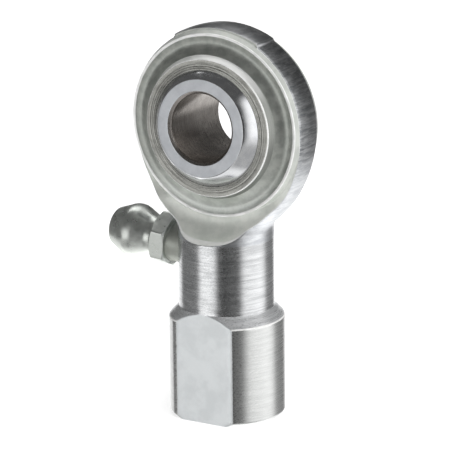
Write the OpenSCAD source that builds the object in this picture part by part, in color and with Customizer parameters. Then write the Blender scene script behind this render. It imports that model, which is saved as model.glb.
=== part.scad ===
// Female rod end bearing, 5/16 in size, millimetres.
// The origin is the centre of the ball. The ball's bore runs along Y, the shank runs down -Z
// to its tapped end, and the grease fitting points along -X.

/* [Ball] */
// Bore through the ball
bore_d = 7.938; // [7:0.001:8.2]
// Diameter of the ball's sphere
ball_d = 15.875; // [15.4:0.005:16]
// Width of the ball along its bore
ball_w = 11.11; // [10.6:0.01:11.5]
// Chamfer at each mouth of the ball's bore
bore_chamfer = 0.33; // [0.1:0.01:0.5]
// How far the ball lies tilted in its race, front face up, in degrees
ball_tilt = 3.5; // [-9:0.5:9]

/* [Race] */
// Width of the race, which is the width of the head over its lips
race_w = 8.3; // [8:0.05:8.6]
// Outside diameter of the race
race_d = 17.6; // [17.4:0.05:17.8]
// Diameter where the staked lips end on the race's faces
race_face_d = 14.5; // [14.3:0.05:14.7]
// Radial gap between the ball and the race
ball_gap = 0.03; // [0.02:0.01:0.08]

/* [Head] */
// Radius of the turned outline of the head
head_r = 11.2; // [11:0.05:11.5]
// Diameter of the staked lip around the race
lip_d = 16; // [15.8:0.05:16.2]
// Diameter of the raised ridge around the dished face
ridge_d = 21.4; // [21.2:0.05:21.5]
// Thickness of the head over its two ridges
ridge_w = 5.4; // [5:0.1:5.8]
// Diameter of the unturned cap on top of the head
cap_d = 11.5; // [10.5:0.1:12]
// Height of the step around the cap
cap_step = 0.32; // [0.1:0.01:0.4]
// Radius of the bulging outline from the middle of the head down to the neck
flare_r = 15.2; // [14.8:0.1:15.6]
// Radius of the forged hollow between the head's face and the neck
gusset_r = 2.75; // [2.5:0.05:3]

/* [Shank] */
// Distance from the ball's centre to the end of the shank
shank_len = 34.925; // [33:0.005:38]
// Diameter of the neck
neck_d = 11.11; // [11:0.01:11.2]
// Diameter of the wrench boss
boss_d = 13.5; // [13.2:0.1:14]
// Length of the boss below its shoulder
boss_len = 11.83; // [10:0.01:12.5]
// Height of the sloping shoulder above the boss
shoulder_h = 1.25; // [1:0.05:1.5]
// Width across the two wrench flats
flats_w = 11.12; // [11.12:0.01:11.4]
// Chamfer around the end of the boss
end_chamfer = 0.45; // [0.2:0.05:0.6]
// Minor diameter of the tapped hole
tap_d = 6.91; // [6.6:0.01:7.1]
// Depth of the tapped hole
tap_len = 15; // [12:0.5:15]

/* [Grease fitting] */
// Distance of the fitting's axis below the ball's centre
fitting_drop = 15.3; // [15.1:0.1:15.4]
// How far the fitting leans up from square to the shank, in degrees
fitting_lean = 5; // [3:0.5:6]
// Width across the hexagon's flats
hex_w = 5.7; // [5.5:0.05:6]
// Length of the hexagon
hex_len = 1.9; // [1.6:0.1:2.2]
// How far the hexagon is turned about the fitting's axis, in degrees
hex_turn = 56; // [0:1:59]
// Diameter of the threaded stem
stem_d = 4.83; // [4.6:0.01:4.9]
// Diameter of the nipple's head
nipple_d = 6.4; // [6.2:0.1:6.6]
// Diameter of the check ball in the nipple
check_d = 2; // [1.9:0.05:2.05]
// Turns in the check ball's spring
spring_turns = 7; // [5:1:9]

/* [Hidden] */
$fn = 96;

eps = 0.01;
big = 60;

zinc = [0.78, 0.79, 0.80];
race_steel = [0.70, 0.71, 0.72];
chrome = [0.86, 0.87, 0.89];
fitting_zinc = [0.72, 0.75, 0.73];
spring_steel = [0.60, 0.61, 0.63];

ball_r = ball_d / 2;
race_r = race_d / 2;
race_half = race_w / 2;
seat_r = ball_r + ball_gap;
// Half the width of the race's cylindrical outside, between its two cones
race_land = 2.2;
// Gap between the race and the metal staked around it
press_gap = 0.01;
// Grease grooves inside and around the race
race_groove_w = 1.5;
race_groove_depth = 0.32;
race_hole_d = 1.6;

ridge_r = ridge_d / 2;
ridge_y = ridge_w / 2;
lip_r = lip_d / 2;
lip_y = race_half - 0.05;
cap_r = cap_d / 2;
neck_r = neck_d / 2;
boss_r = boss_d / 2;
shoulder_z = -shank_len + boss_len;
neck_end_z = shoulder_z + shoulder_h;
// The flare's arc touches the head's sphere at its widest, and a hollow blends it into the neck
flare_centre_r = head_r - flare_r;
neck_fillet = 1.5;
fillet_centre_r = neck_r + neck_fillet;
fillet_z = -sqrt(pow(flare_r + neck_fillet, 2) - pow(fillet_centre_r - flare_centre_r, 2));
flare_share = flare_r / (flare_r + neck_fillet);
flare_end_r = flare_centre_r + (fillet_centre_r - flare_centre_r) * flare_share;
flare_end_z = fillet_z * flare_share;
// Half thickness of the forging outside the ridge, before turning
web_y = 1.9;
// The cap is part of a flatter sphere than the turned head
cap_dome_r = 12;
cap_edge_z = sqrt(head_r * head_r - cap_r * cap_r) + cap_step;
cap_dome_z = cap_edge_z - sqrt(cap_dome_r * cap_dome_r - cap_r * cap_r);

tap_point_angle = 59;
tap_sink = 0.6;

seat_x = -neck_r;
stem_r = stem_d / 2;
stem_len = 2.6;
port_r = stem_r + 0.02;
port_len = 4.2;
duct_d = 1.6;
duct_lean = 38;
// Length of stem that shows between the neck and the hexagon
stem_gap = 1.35;
hex_end = stem_gap + hex_len;
waist_r = 2.35;
nipple_r = nipple_d / 2;
nipple_tip_r = 1.9;
nipple_len = 6.15;
check_r = check_d / 2;
channel_r = check_r + 0.06;
// Along the fitting: s is 0 at the seat on the neck and grows outwards
tip_s = hex_end + nipple_len;
check_s = tip_s - check_r - 0.05;
spring_start_s = 3.2;
spring_wire_d = 0.24;
spring_mid_r = 0.8;
spring_clear = 0.06;
spring_sides = 6;
spring_steps = 12;

module along_bore() {
    rotate([-90, 0, 0]) children();
}

module along_fitting() {
    translate([seat_x, 0, -fitting_drop]) rotate([0, fitting_lean - 90, 0]) children();
}

// Everything that turning about the shank's axis leaves: sphere, flare, neck, shoulder and boss
module turned_outline() {
    sphere(head_r);
    rotate_extrude() intersection() {
        translate([flare_centre_r, 0]) circle(flare_r);
        translate([0, flare_end_z]) square([head_r + 1, -flare_end_z]);
    }
    neck_blend();
    intersection() {
        cylinder(r = cap_r, h = big);
        translate([0, 0, cap_dome_z]) sphere(cap_dome_r);
    }
    translate([0, 0, neck_end_z]) cylinder(r = neck_r, h = -neck_end_z - 7);
    translate([0, 0, shoulder_z]) cylinder(r1 = boss_r, r2 = neck_r, h = shoulder_h);
    translate([0, 0, -shank_len + end_chamfer]) cylinder(r = boss_r, h = boss_len - end_chamfer);
    translate([0, 0, -shank_len])
        cylinder(r1 = boss_r - end_chamfer, r2 = boss_r, h = end_chamfer);
}

// Ring of metal that rounds the corner between the flare and the neck
module neck_blend() {
    rotate_extrude() difference() {
        translate([neck_r - 1, fillet_z])
            square([flare_end_r - neck_r + 1, flare_end_z - fillet_z]);
        translate([fillet_centre_r, fillet_z]) circle(neck_fillet);
    }
}

// Half section of the head across its bore: lip, dished face, ridge and bevelled rim
module head_disc() {
    side = [
        [lip_r - 0.10, lip_y],
        [lip_r + 0.02, lip_y - 0.10],
        [lip_r + 0.25, 3.56],
        [lip_r + 0.95, 2.74],
        [lip_r + 1.20, 2.52],
        [ridge_r - 0.80, ridge_y - 0.20],
        [ridge_r - 0.40, ridge_y - 0.12],
        [ridge_r - 0.16, ridge_y],
        [ridge_r, ridge_y],
        [ridge_r + 0.37, web_y],
        [ridge_r + 3.00, web_y],
        [ridge_r + 3.00, 0]
    ];
    along_bore() rotate_extrude() polygon(concat(
        [[0, lip_y]],
        side,
        [for (i = [len(side) - 2:-1:0]) [side[i][0], -side[i][1]]],
        [[0, -lip_y]]
    ));
}

// The forged web under the head, hollowed on both faces, and the bar that the shank is turned from
module gusset() {
    floor_y = ridge_y - 0.1;
    intersection() {
        along_bore() rotate_extrude() difference() {
            translate([0, -10]) square([50, 20]);
            for (side = [-1, 1]) {
                translate([ridge_r, side * (floor_y + gusset_r)]) circle(gusset_r);
                translate([0, side > 0 ? web_y : -10 - eps])
                    square([ridge_r, 10 + eps - web_y]);
                translate([0, side > 0 ? floor_y + gusset_r : -10 - eps])
                    square([ridge_r + gusset_r, 10 + eps - floor_y - gusset_r]);
            }
        }
        gusset_flanks();
    }
}

// The web thickens towards its middle: a ramp on each side, seen along X
module gusset_flanks() {
    ramp = [[web_y, -7.8], [ridge_y, -9.3], [4.5, -10.8], [9, -14.5], [9, -big]];
    rotate([90, 0, 90]) linear_extrude(height = big, center = true) polygon(concat(
        ramp,
        [for (i = [len(ramp) - 1:-1:0]) [-ramp[i][0], ramp[i][1]]]
    ));
}

// The space that the race fills, open through both lips
module race_space(gap) {
    along_bore() {
        cylinder(r = race_r + gap, h = 2 * race_land, center = true);
        for (side = [0, 1]) mirror([0, 0, side]) {
            translate([0, 0, race_land])
                cylinder(r1 = race_r + gap, r2 = race_face_d / 2 + gap, h = race_half - race_land);
            translate([0, 0, race_half - eps]) cylinder(r = race_face_d / 2 + gap, h = 3);
        }
    }
}

module tapped_hole() {
    translate([0, 0, -shank_len - eps]) cylinder(d = tap_d, h = tap_len + eps);
    translate([0, 0, -shank_len + tap_len])
        cylinder(r1 = tap_d / 2, r2 = 0, h = tap_d / 2 / tan(tap_point_angle));
    translate([0, 0, -shank_len - eps])
        cylinder(r1 = tap_d / 2 + tap_sink, r2 = tap_d / 2, h = tap_sink);
}

module wrench_flats() {
    for (side = [-1, 1])
        translate([0, side * (flats_w / 2 + 5), -shank_len + boss_len / 2])
            cube([20, 10, boss_len + 2 * shoulder_h + 1], center = true);
}

// Tapped port for the fitting, and the slanted duct drilled through it up to the race
module grease_passages() {
    along_fitting() translate([0, 0, -port_len]) cylinder(r = port_r, h = port_len + 3);
    translate([-2.9, 0, -fitting_drop + 1.4])
        rotate([0, duct_lean, 0]) cylinder(d = duct_d, h = 6.6);
}

module body() {
    color(zinc) difference() {
        intersection() {
            turned_outline();
            union() {
                head_disc();
                gusset();
            }
        }
        race_space(press_gap);
        wrench_flats();
        tapped_hole();
        grease_passages();
    }
}

module race() {
    color(race_steel) difference() {
        intersection() {
            race_space(0);
            cube([big, race_w, big], center = true);
        }
        sphere(seat_r);
        along_bore() {
            cylinder(r = seat_r + race_groove_depth, h = race_groove_w, center = true);
            difference() {
                cylinder(r = race_r + 1, h = race_groove_w, center = true);
                cylinder(r = race_r - race_groove_depth, h = race_groove_w + 1, center = true);
            }
        }
        translate([0, 0, -race_r - 1]) cylinder(d = race_hole_d, h = 3);
    }
}

module ball() {
    color(chrome) rotate([-ball_tilt, 0, 0]) along_bore() difference() {
        intersection() {
            sphere(ball_r);
            cylinder(r = ball_r + 1, h = ball_w, center = true);
        }
        cylinder(d = bore_d, h = ball_w + 2, center = true);
        for (side = [0, 1]) mirror([0, 0, side])
            translate([0, 0, ball_w / 2 - bore_chamfer])
                cylinder(r1 = bore_d / 2, r2 = bore_d / 2 + bore_chamfer + eps,
                    h = bore_chamfer + eps);
    }
}

module hexagon_piece() {
    corner_r = hex_w / 2 / cos(30);
    edge_r = hex_w / 2 + 0.05;
    chamfer_h = (corner_r - edge_r) * tan(30);
    translate([0, 0, stem_gap]) intersection() {
        rotate([0, 0, hex_turn]) cylinder(r = corner_r, h = hex_len, $fn = 6);
        union() {
            cylinder(r1 = edge_r, r2 = corner_r, h = chamfer_h);
            translate([0, 0, chamfer_h]) cylinder(r = corner_r, h = hex_len - 2 * chamfer_h);
            translate([0, 0, hex_len - chamfer_h])
                cylinder(r1 = corner_r, r2 = edge_r, h = chamfer_h);
        }
    }
}

// The outline from the stem's end to the tip, as radius and distance along the fitting
module nipple() {
    rotate_extrude() polygon([
        [0, -stem_len],
        [stem_r - 0.4, -stem_len],
        [stem_r, -stem_len + 0.4],
        [stem_r, hex_end - 0.2],
        [waist_r + 0.25, hex_end],
        [waist_r, hex_end + 0.25],
        [waist_r, hex_end + 1.05],
        [nipple_r - 0.12, hex_end + 2.6],
        [nipple_r, hex_end + 3.0],
        [nipple_r, hex_end + 3.5],
        [nipple_r - 0.12, hex_end + 3.95],
        [nipple_tip_r + 0.3, tip_s - 0.25],
        [nipple_tip_r, tip_s],
        [0, tip_s]
    ]);
}

// Bore of the fitting: grease channel, check ball's chamber and its narrow mouth
module fitting_bore() {
    mouth_r = 0.85 * check_r;
    throat_s = check_s + 0.4;
    translate([0, 0, -stem_len - 1]) cylinder(r = channel_r - 0.4, h = stem_len + 6);
    translate([0, 0, spring_start_s]) cylinder(r = channel_r, h = throat_s - spring_start_s);
    translate([0, 0, throat_s]) cylinder(r1 = channel_r, r2 = mouth_r, h = 0.26);
    translate([0, 0, throat_s + 0.2]) cylinder(r = mouth_r, h = 2);
}

module grease_fitting() {
    color(fitting_zinc) along_fitting() difference() {
        union() {
            hexagon_piece();
            nipple();
        }
        fitting_bore();
    }
}

module check_ball() {
    color(chrome) along_fitting() translate([0, 0, check_s]) sphere(check_r);
}

// A closed coil spring swept along its helix, from the channel's shoulder to the check ball
module check_spring() {
    low = spring_start_s + spring_wire_d / 2 + spring_clear;
    high = check_s - check_r - spring_wire_d / 2 + 0.25;
    rings = spring_turns * spring_steps;
    points = [
        for (i = [0:rings], k = [0:spring_sides - 1])
            let (turn = 360 * i / spring_steps, side = 360 * k / spring_sides,
                r = spring_mid_r + spring_wire_d / 2 * cos(side))
            [r * cos(turn), r * sin(turn), low + (high - low) * i / rings
                + spring_wire_d / 2 * sin(side)]
    ];
    sides = [
        for (i = [0:rings - 1], k = [0:spring_sides - 1])
            let (a = i * spring_sides + k, b = i * spring_sides + (k + 1) % spring_sides)
            [a, a + spring_sides, b + spring_sides, b]
    ];
    first_end = [for (k = [0:spring_sides - 1]) k];
    last_end = [for (k = [spring_sides - 1:-1:0]) rings * spring_sides + k];
    color(spring_steel) along_fitting()
        polyhedron(points, concat(sides, [first_end], [last_end]));
}

body();
race();
ball();
grease_fitting();
check_ball();
check_spring();
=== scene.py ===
import math

import bmesh
import bpy
import numpy as np
from mathutils import Matrix, Vector


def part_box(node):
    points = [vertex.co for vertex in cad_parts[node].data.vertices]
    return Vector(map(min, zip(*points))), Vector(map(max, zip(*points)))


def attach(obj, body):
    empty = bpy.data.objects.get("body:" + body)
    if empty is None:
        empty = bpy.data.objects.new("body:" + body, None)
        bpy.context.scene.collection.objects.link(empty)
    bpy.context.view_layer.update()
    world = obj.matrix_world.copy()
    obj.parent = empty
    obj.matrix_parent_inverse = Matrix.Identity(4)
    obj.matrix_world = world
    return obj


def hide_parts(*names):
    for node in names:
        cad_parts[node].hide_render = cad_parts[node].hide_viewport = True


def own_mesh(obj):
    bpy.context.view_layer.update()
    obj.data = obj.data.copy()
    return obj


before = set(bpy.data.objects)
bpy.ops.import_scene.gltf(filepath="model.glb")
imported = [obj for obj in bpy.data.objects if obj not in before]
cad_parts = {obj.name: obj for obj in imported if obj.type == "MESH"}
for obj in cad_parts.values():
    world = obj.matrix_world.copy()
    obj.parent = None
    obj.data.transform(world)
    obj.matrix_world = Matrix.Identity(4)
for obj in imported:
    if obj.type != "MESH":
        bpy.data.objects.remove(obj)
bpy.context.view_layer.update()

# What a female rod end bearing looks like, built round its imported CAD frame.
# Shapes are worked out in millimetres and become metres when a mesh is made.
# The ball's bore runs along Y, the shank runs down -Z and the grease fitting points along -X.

MM = 0.001


def box_mm(node):
    """A CAD node's lowest and highest corner in millimetres."""
    low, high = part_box(node)
    return np.array(low) / MM, np.array(high) / MM


# ------------------------ sizes

BODY_LOW, BODY_HIGH = box_mm("body")
RACE_HIGH = box_mm("race")[1]

HEAD_R = BODY_HIGH[0]
SHANK_LEN = -BODY_LOW[2]
BOSS_R = 6.75
BOSS_LEN = 11.83
NECK_R = 5.555
SHOULDER_H = 1.25
END_CHAMFER = 0.45
FLAT_Y = 5.56
FLATS_TOP_Z = -20.0
SHOULDER_Z = BOSS_LEN - SHANK_LEN
NECK_END_Z = SHOULDER_Z + SHOULDER_H

RACE_HALF = RACE_HIGH[1]
RACE_R = RACE_HIGH[0]
RACE_FACE_R = 7.25
RACE_LAND = 2.2
GROOVE_HALF = 0.75
GROOVE_DEPTH = 0.32

LIP_R = 8.0
LIP_Y = RACE_HALF - 0.05
LIP_BORE_R = RACE_FACE_R + 0.01
LIP_GROOVE_R = 7.56
LIP_STEP_R = 7.62
DISH_MIDDLE_R = 9.9
DISH_Y = 2.47
RIDGE_R = 10.7
RIDGE_Y = 2.7
WEB_Y = 1.9
CAP_R = 5.75
CAP_DOME_R = 12.0
CAP_DOME_Z = BODY_HIGH[2] - CAP_DOME_R

FLARE_R = 15.2
FLARE_CENTRE_R = HEAD_R - FLARE_R
NECK_FILLET = 1.5
FILLET_CENTRE_R = NECK_R + NECK_FILLET
FILLET_Z = -math.sqrt((FLARE_R + NECK_FILLET) ** 2 - (FILLET_CENTRE_R - FLARE_CENTRE_R) ** 2)
FLARE_END_Z = FILLET_Z * FLARE_R / (FLARE_R + NECK_FILLET)
GUSSET_R = 2.75
GUSSET_FLOOR_Y = RIDGE_Y - 0.1
FLANK_START_Z = -7.8
FLANK_BEND_Z = -9.3

TAP_R = 3.455
TAP_LEN = 15.0
TAP_SINK = 0.6
DRILL_ANGLE = math.radians(59)
THREAD_PITCH = 1.058
THREAD_DEPTH = 0.5
THREAD_END = 13.2

BALL_R = 7.9375
BALL_HALF = 5.555
BORE_R = 3.969
BORE_CHAMFER = 0.33
BALL_TILT = 3.5

FITTING_DROP = 15.3
FITTING_LEAN = 5.0


# ------------------------ small tools


def smooth_min(a, b, width):
    """The lower of two, with the corner between them rounded over about that width."""
    share = np.clip(0.5 + 0.5 * (b - a) / width, 0, 1)
    return b + (a - b) * share - width * share * (1 - share)


def smooth_max(a, b, width):
    return -smooth_min(-a, -b, width)


def smooth_step(value, start, end):
    share = np.clip((value - start) / (end - start), 0, 1)
    return share * share * (3 - 2 * share)


def build_mesh(name, points, faces, materials, zones=None):
    """A mesh object from points in millimetres; zones gives each face's material number."""
    mesh = bpy.data.meshes.new(name)
    mesh.from_pydata((np.asarray(points) * MM).tolist(), [], faces)
    if zones is not None:
        mesh.polygons.foreach_set("material_index", np.asarray(zones, np.int32))
    made = bmesh.new()
    made.from_mesh(mesh)
    bmesh.ops.remove_doubles(made, verts=made.verts, dist=2e-4 * MM)
    bmesh.ops.recalc_face_normals(made, faces=made.faces)
    made.to_mesh(mesh)
    made.free()
    mesh.polygons.foreach_set("use_smooth", [True] * len(mesh.polygons))
    for material in materials:
        mesh.materials.append(material)
    piece = bpy.data.objects.new(name, mesh)
    bpy.context.scene.collection.objects.link(piece)
    return piece


def around(radius, turn, z):
    """Points at a radius and angle about the Z axis, and at a height."""
    radius, turn, z = np.broadcast_arrays(radius, turn, z)
    return np.stack([radius * np.cos(turn), radius * np.sin(turn), z], axis=-1)


def numbered(points):
    """The place of each point in a list of all of them, in the array's own shape."""
    return np.arange(points.size // 3).reshape(points.shape[:-1])


def grid_faces(index, close_columns=False, close_rows=False):
    """Four-sided faces between the rows of an array of point numbers."""
    if close_columns:
        index = np.concatenate([index, index[:, :1]], axis=1)
    if close_rows:
        index = np.concatenate([index, index[:1]], axis=0)
    corners = [index[:-1, :-1], index[:-1, 1:], index[1:, 1:], index[1:, :-1]]
    return np.stack(corners, axis=-1).reshape(-1, 4).tolist()


def rounded_outline(corners, radius, steps=5):
    """An open list of (a, b) corners with each inner corner replaced by a short arc-like curve.

    A corner with a third number has that radius of its own.
    """
    out = []
    for i, corner in enumerate(corners):
        here = np.array(corner[:2], float)
        size = corner[2] if len(corner) > 2 else radius
        if i in (0, len(corners) - 1) or size == 0:
            out.append(here)
            continue
        before = np.array(corners[i - 1][:2], float) - here
        after = np.array(corners[i + 1][:2], float) - here
        reach = min(size, 0.45 * np.linalg.norm(before), 0.45 * np.linalg.norm(after))
        start = here + before / np.linalg.norm(before) * reach
        end = here + after / np.linalg.norm(after) * reach
        for t in np.linspace(0, 1, steps):
            out.append((1 - t) ** 2 * start + 2 * t * (1 - t) * here + t * t * end)
    return np.array(out)


def fill_in(outline, step, closed=True):
    """The same outline with its long straight stretches divided."""
    out = []
    count = len(outline)
    for i in range(count if closed else count - 1):
        a, b = outline[i], outline[(i + 1) % count]
        parts = max(1, int(np.ceil(np.linalg.norm(b - a) / step)))
        out += [a + (b - a) * k / parts for k in range(parts)]
    if not closed:
        out.append(outline[-1])
    return np.array(out)


# ------------------------ body: its surface as a function


def beyond(value, curve, at, step=0.002):
    """How far a value is outside a curve, measured square to the curve."""
    slope = (curve(at + step) - curve(at - step)) / (2 * step)
    return (value - curve(at)) / np.sqrt(1 + slope**2)


def outline_radius(z):
    """Radius of the turned outline at heights below the head's widest place."""
    low = np.clip(z, -FLARE_R, 0)
    flare = FLARE_CENTRE_R + np.sqrt(FLARE_R**2 - low**2)
    blend = FILLET_CENTRE_R - np.sqrt(np.maximum(NECK_FILLET**2 - (z - FILLET_Z) ** 2, 0))
    shoulder = NECK_R + (NECK_END_Z - z) * (BOSS_R - NECK_R) / SHOULDER_H
    chamfer = BOSS_R - END_CHAMFER + z + SHANK_LEN
    boss = smooth_min(smooth_min(shoulder, BOSS_R, 0.16), chamfer, 0.12)
    shank = smooth_max(NECK_R, boss, 0.12)
    return np.where(z > FLARE_END_Z, flare, np.where(z > FILLET_Z, blend, shank))


def turned_distance(p):
    """Distance outside everything that turning about the shank's axis leaves."""
    x, y, z = p[..., 0], p[..., 1], p[..., 2]
    r = np.hypot(x, y)
    sphere = np.hypot(r, z) - HEAD_R
    cap = np.maximum(r - CAP_R, np.hypot(r, z - CAP_DOME_Z) - CAP_DOME_R)
    return np.where(z > 0, np.minimum(sphere, cap), beyond(r, outline_radius, z))


def dish_height(rho):
    """Half thickness of the disc-shaped head: lip, dished face, ridge and bevelled band."""
    groove = 0.035 * np.exp(-(((rho - LIP_GROOVE_R) / 0.07) ** 2))
    lip_top = LIP_Y - groove - 0.02 * (rho > LIP_STEP_R)
    steep = LIP_Y - 0.06 - (rho - LIP_R - 0.02) * 2.14
    wall = 3.27 - (rho - LIP_R - 0.38) * 0.95
    lip = smooth_min(lip_top, smooth_max(steep, wall, 0.10), 0.10)
    floor = DISH_Y + 0.14 * np.clip(DISH_MIDDLE_R - rho, 0, None) ** 2
    rise = RIDGE_Y + (rho - RIDGE_R + 0.12) * 0.38
    bevel = RIDGE_Y - (rho - RIDGE_R) * 2.16
    inner = smooth_max(smooth_max(lip, floor, 0.50), rise, 0.16)
    ridge = smooth_min(smooth_min(inner, RIDGE_Y, 0.05), bevel, 0.07)
    return smooth_max(np.where(rho > DISH_MIDDLE_R - 0.1, ridge, inner), WEB_Y, 0.08)


def flank_height(z):
    """Half thickness of the web under the head, which thickens downwards."""
    first = WEB_Y + (FLANK_START_Z - z) * 0.53
    second = RIDGE_Y + (FLANK_BEND_Z - z) * 1.21
    return smooth_max(WEB_Y, smooth_max(first, second, 0.8), 0.8)


def faces_distance(p):
    """Distance outside the head's two faces and the hollows that run down into the neck."""
    x, y, z = p[..., 0], np.abs(p[..., 1]), p[..., 2]
    rho = np.hypot(x, z)
    across = rho - RIDGE_R
    up = GUSSET_R - (y - GUSSET_FLOOR_Y)
    hollow = GUSSET_R - np.hypot(np.maximum(across, 0), np.maximum(up, 0))
    hollow = hollow + np.maximum(-np.maximum(across, up), 0)
    hollow = np.maximum(hollow, RIDGE_R - 0.03 - rho)
    under = smooth_max(hollow, beyond(y, flank_height, z), 0.30)
    return smooth_min(beyond(y, dish_height, rho), under, 0.10)


def body_distance(p):
    """Distance outside the body's outer surface, with its edges slightly rounded."""
    solid = smooth_max(turned_distance(p), faces_distance(p), 0.16)
    flats = np.where(p[..., 2] < FLATS_TOP_Z, np.abs(p[..., 1]) - FLAT_Y, -10.0)
    return smooth_max(solid, flats, 0.07)


def gradient(distance, p, step=1e-3):
    parts = []
    for axis in range(3):
        shift = np.zeros(3)
        shift[axis] = step
        parts.append((distance(p + shift) - distance(p - shift)) / (2 * step))
    return np.stack(parts, axis=-1)


def settled(points, distance, rounds=6, reach=0.12):
    """The points moved onto the surface along its own slope."""
    for _ in range(rounds):
        slope = gradient(distance, points)
        size = np.maximum((slope**2).sum(-1, keepdims=True), 0.2)
        move = distance(points)[..., None] * slope / size
        length = np.linalg.norm(move, axis=-1, keepdims=True)
        points = points - move * np.minimum(1, reach / np.maximum(length, 1e-12))
    return points


# ------------------------ body: its mesh

ACROSS = 64
OUTER_STEPS = 26
EDGE_COLUMNS = 7
LOW_ANGLE = math.radians(24)
BLEND_ANGLE = math.radians(38)
FLAT_TURN = math.radians(60)
FLAT_TURN_LIMIT = math.radians(86)
# Distances from the Y axis between which the rim's edge and the turned outline are looked for
EDGE_SPAN = (10.72, 14.5)
OUTLINE_SPAN = (9.0, 15.5)
# Stretches of a face, as distances from the Y axis and numbers of points, crowded where it bends
FACE_SPANS = (
    (LIP_BORE_R, 7.44, 4), (7.46, 7.66, 9), (7.68, 7.86, 4), (7.88, 8.08, 9), (8.11, 8.4, 9),
    (8.46, 8.9, 7), (8.93, 9.1, 6), (9.2, 9.8, 6), (9.86, 10.46, 15), (10.49, 10.80, 15),
)
# Zones of a face and where each of them ends; the two edge zones paint highlight lines on the lip's edge
# and on the ridge
FACE_ZONES = (
    ("lip", LIP_R - 0.06), ("edge", LIP_R + 0.07), ("wall", LIP_R + 0.40),
    ("dish", RIDGE_R - 0.30), ("edge", RIDGE_R + 0.05),
)


def ring_angles():
    """Half a turn of angles about Y from straight down, closer together at the cap's step."""
    cap_angle = math.pi - math.atan2(CAP_R, math.sqrt(HEAD_R**2 - CAP_R**2))
    near = np.array([-0.16, -0.10, -0.055, -0.03, -0.008, 0.008, 0.03, 0.055, 0.10, 0.16]) / HEAD_R
    even = np.linspace(0, math.pi, 161)
    kept = even[np.abs(even - cap_angle) > 0.2 / HEAD_R]
    return np.sort(np.concatenate([kept, cap_angle + near])), cap_angle


def top_radius(angle, y):
    """Distance from the Y axis to the turned outline of the upper half, at an angle about Y."""
    sphere = np.sqrt(HEAD_R**2 - y**2)
    reach = CAP_DOME_Z * -np.cos(angle)
    dome = reach + np.sqrt(np.maximum(CAP_DOME_R**2 - y**2 - CAP_DOME_Z**2 + reach**2, 0))
    on_cap = np.hypot(sphere * np.sin(angle), y) < CAP_R
    return np.where(on_cap & (np.cos(angle) < 0), dome, sphere)


def solve_rising(function, low, high, rounds=44):
    """Where a rising function crosses zero, for arrays of brackets."""
    for _ in range(rounds):
        middle = (low + high) / 2
        above = function(middle) > 0
        high = np.where(above, middle, high)
        low = np.where(above, low, middle)
    return (low + high) / 2


def side_height(rho, angle):
    """Half thickness of the body's faces at a distance and angle about Y."""
    z = -rho * np.cos(angle)
    drop = np.sqrt(np.maximum(GUSSET_R**2 - np.clip(rho - RIDGE_R, 0, None) ** 2, 0))
    hollow = np.where(rho < RIDGE_R + GUSSET_R, GUSSET_FLOOR_Y + GUSSET_R - drop, 9.0)
    under = np.where(rho > RIDGE_R, np.minimum(hollow, flank_height(z)), 0)
    return np.maximum(dish_height(rho), under)


def at_angle(rho, angle, y):
    """The point at a distance from the Y axis and an angle about it from straight down."""
    rho, angle, y = np.broadcast_arrays(rho, angle, y)
    return np.stack([rho * np.sin(angle), y, -rho * np.cos(angle)], axis=-1)


def rim_edge(angle):
    """Distance from Y, and half thickness, where the faces meet the turned outline."""

    def outside(rho):
        return turned_distance(at_angle(rho, angle, side_height(rho, angle)))

    rho = solve_rising(outside, *(np.full_like(angle, r) for r in EDGE_SPAN))
    height = side_height(rho, angle)
    low = angle < math.pi / 2
    spare = outline_radius(-rho * np.cos(angle)) ** 2 - (rho * np.sin(angle)) ** 2
    return rho, np.where(low, np.sqrt(np.maximum(spare, 0)), height)


def turned_rows(angles, cap_angle, rho_edge, y_edge):
    """Rows across the rim from the front edge to the back edge, one for each angle, on +X."""
    u = np.linspace(0, 1, ACROSS + 1)
    crowd = 0.8 * smooth_step(angles, 0, LOW_ANGLE)[:, None]
    share = u - crowd * np.sin(2 * math.pi * u) / (2 * math.pi)
    y = y_edge[:, None] * (2 * share - 1)
    # Rows near the cap's step lean so that they follow it
    cap_x = np.sqrt(CAP_R**2 - y**2 * (np.abs(y) < CAP_R))
    drift = (math.pi - cap_angle) - np.arctan2(cap_x, math.sqrt(HEAD_R**2 - CAP_R**2))
    fade = 1 - smooth_step(np.abs(angles - cap_angle), 0.02, 0.25)
    slanted = angles[:, None] + drift * fade[:, None]
    rho_high = top_radius(slanted, y)

    def outside(rho):
        return turned_distance(at_angle(rho, slanted, y))

    low_side = slanted < math.pi / 2
    rho_low = solve_rising(outside, *(np.full_like(y, r) for r in OUTLINE_SPAN))
    across = at_angle(np.where(low_side, rho_low, rho_high), slanted, y)
    # Below, the rows turn into level ones that run round the neck
    last = np.searchsorted(angles, BLEND_ANGLE)
    middle_z = np.interp(
        angles, [0, angles[last]], [-rho_edge[0] - 0.15, across[last, ACROSS // 2, 2]]
    )[:, None]
    edge_z = (-rho_edge * np.cos(angles))[:, None]
    z = edge_z + (middle_z - edge_z) * np.sin(math.pi * share) ** 2
    radius = outline_radius(z)
    front = -np.arctan2(y_edge, rho_edge * np.sin(angles))[:, None]
    turn = front * (1 - 2 * share)
    level = around(radius, turn, z)
    mix = smooth_step(angles, LOW_ANGLE, BLEND_ANGLE)[:, None, None]
    return np.where(mix > 0, across * mix, 0) + level * (1 - mix)


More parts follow.
